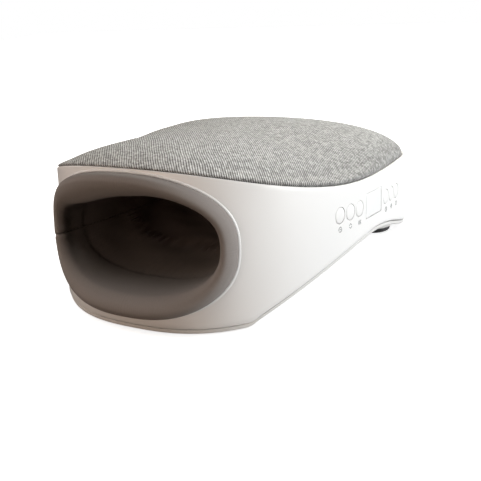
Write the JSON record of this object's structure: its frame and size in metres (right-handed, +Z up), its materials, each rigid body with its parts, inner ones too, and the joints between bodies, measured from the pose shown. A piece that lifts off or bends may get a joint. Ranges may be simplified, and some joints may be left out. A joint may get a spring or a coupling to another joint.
{
  "type": "hand massager",
  "caption": "Egg-shaped hand massager with a padded fabric top, a stuffed oval cuff round the hand opening, an air-bag sleeve inside and side controls.",
  "frame": {"origin": "middle of the footprint's bounding box, on the table under the feet", "axes": "+X to the right seen from the hand opening, +Y from the hand opening to the rear, +Z up"},
  "size_m": [0.182, 0.2352, 0.0834],
  "materials": {
    "white_shell": "satin white moulding",
    "base_plastic": "fine spark texture",
    "woven_fabric": "grey melange weave",
    "foam": "open-cell foam",
    "inner_plastic": "matt moulding",
    "knit_fabric": "fine taupe knit over foam",
    "sleeve_fabric": "soft dark lining",
    "copper_film": "printed heating film",
    "air_bag": "welded film",
    "node_plastic": "matt moulding",
    "display_lens": "glossy white lens",
    "black_plastic": "matt",
    "circuit_board": "solder mask",
    "steel": "bright",
    "rubber": "matt",
    "cell_wrap": "shrink wrap",
    "hose": "clear silicone"
  },
  "bodies": {
    "case": {"side_shell": "white_shell", "base_cover": "base_plastic", "top_fabric": "woven_fabric", "top_foam": "foam", "top_panel": "inner_plastic", "mouth_cuff": "knit_fabric", "hand_sleeve": "sleeve_fabric", "heat_film": "copper_film", "upper_air_bag": "air_bag", "massage_nodes": "node_plastic", "lower_air_bag": "air_bag", "upper_frame": "inner_plastic", "lower_frame": "inner_plastic", "display_window": "display_lens", "display_module": "black_plastic", "control_board": "circuit_board", "front_left_foot": "rubber", "rear_left_foot": "rubber", "front_right_foot": "rubber", "rear_right_foot": "rubber", "base_screw_1": "steel", "base_screw_2": "steel", "base_screw_3": "steel", "base_screw_4": "steel", "pump_head": "inner_plastic", "pump_motor": "steel", "air_manifold": "inner_plastic", "valve_body_1": "steel", "valve_body_2": "steel", "battery_tray": "inner_plastic", "battery_cell_1": "cell_wrap", "battery_cell_2": "cell_wrap", "main_board": "circuit_board", "charging_socket": "steel", "pump_hose": "hose", "lower_bag_hose": "hose", "upper_bag_hose": "hose"},
    "mode_button": {"mode_button": "white_shell"},
    "pressure_button": {"pressure_button": "white_shell"},
    "heat_button": {"heat_button": "white_shell"},
    "timer_button": {"timer_button": "white_shell"},
    "light_button": {"light_button": "white_shell"},
    "power_button": {"power_button": "white_shell"},
    "pump_rotor": {"pump_eccentric": "steel"},
    "valve_plunger_1": {"valve_plunger_1": "steel"},
    "valve_plunger_2": {"valve_plunger_2": "steel"}
  },
  "joints": [
    {"name": "mode_button_press", "type": "slide", "parent": "case", "child": "mode_button", "axis": [-0.9681, 0.2493, -0.0266], "range_m": [0, 0.0008], "stiffness_N_per_m": 800, "springref_m": -0.0003},
    {"name": "pressure_button_press", "type": "slide", "parent": "case", "child": "pressure_button", "axis": [-0.9789, 0.2031, -0.0217], "range_m": [0, 0.0008], "stiffness_N_per_m": 800, "springref_m": -0.0003},
    {"name": "heat_button_press", "type": "slide", "parent": "case", "child": "heat_button", "axis": [-0.9864, 0.1632, -0.0174], "range_m": [0, 0.0008], "stiffness_N_per_m": 800, "springref_m": -0.0003},
    {"name": "timer_button_press", "type": "slide", "parent": "case", "child": "timer_button", "axis": [-0.9985, 0.0542, -0.0058], "range_m": [0, 0.0008], "stiffness_N_per_m": 800, "springref_m": -0.0003},
    {"name": "light_button_press", "type": "slide", "parent": "case", "child": "light_button", "axis": [-0.9994, 0.0349, -0.0037], "range_m": [0, 0.0008], "stiffness_N_per_m": 800, "springref_m": -0.0003},
    {"name": "power_button_press", "type": "slide", "parent": "case", "child": "power_button", "axis": [-0.9998, 0.0196, -0.0021], "range_m": [0, 0.0008], "stiffness_N_per_m": 800, "springref_m": -0.0003},
    {"name": "pump_spin", "type": "hinge", "parent": "case", "child": "pump_rotor", "pos_m": [-0.037, 0.04062, 0.0194], "axis": [1, 0, 0], "continuous": true},
    {"name": "valve_1_pull", "type": "slide", "parent": "case", "child": "valve_plunger_1", "axis": [0, 0, -1], "range_m": [0, 0.0012], "stiffness_N_per_m": 150, "springref_m": -0.001},
    {"name": "valve_2_pull", "type": "slide", "parent": "case", "child": "valve_plunger_2", "axis": [0, 0, -1], "range_m": [0, 0.0012], "stiffness_N_per_m": 150, "springref_m": -0.001}
  ]
}
